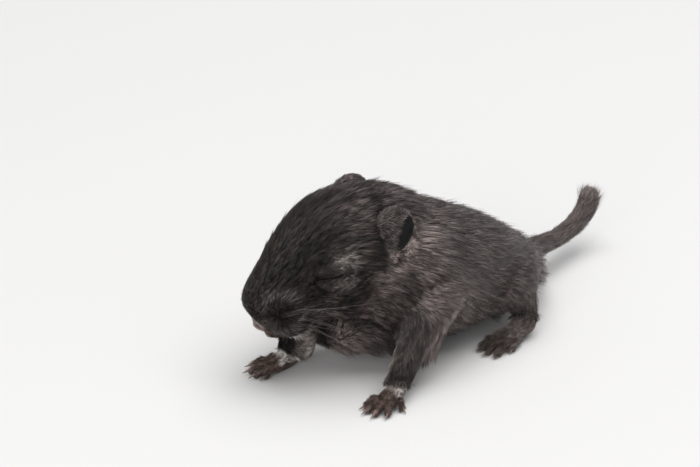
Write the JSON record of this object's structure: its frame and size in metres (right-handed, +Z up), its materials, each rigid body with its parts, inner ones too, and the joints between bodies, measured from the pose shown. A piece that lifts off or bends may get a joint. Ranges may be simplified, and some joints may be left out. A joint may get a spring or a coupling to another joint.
{
  "type": "gerbil",
  "caption": "Black gerbil pup as a still life-size figure, standing on its four feet with its head low and turned, eyes closed, and its furred tail held clear of the floor.",
  "frame": {"origin": "on the floor under the middle of the object's box", "axes": "+X forward along the body, +Y to the animal's left, +Z up"},
  "size_m": [0.0818, 0.0304, 0.0307],
  "materials": {
    "coat": "short soft fur, charcoal black with a grey-brown sheen",
    "ear": "dark thin skin with very short fur",
    "lid": "closed lids with short paler fur",
    "nose": "moist brownish pink skin",
    "foot": "dusky pink skin with sparse short hair and pale brown claws"
  },
  "bodies": {
    "root": {"head": "coat", "neck": "coat", "torso": "coat", "fore_leg_left": "coat", "fore_leg_right": "coat", "hind_leg_left": "coat", "hind_leg_right": "coat", "tail_root": "coat", "tail_middle": "coat", "tail_tip": "coat", "ear_left": "ear", "ear_right": "ear", "eyelids_left": "lid", "eyelids_right": "lid", "nose": "nose", "fore_foot_left": "foot", "fore_foot_right": "foot", "hind_foot_left": "foot", "hind_foot_right": "foot"}
  },
  "joints": []
}
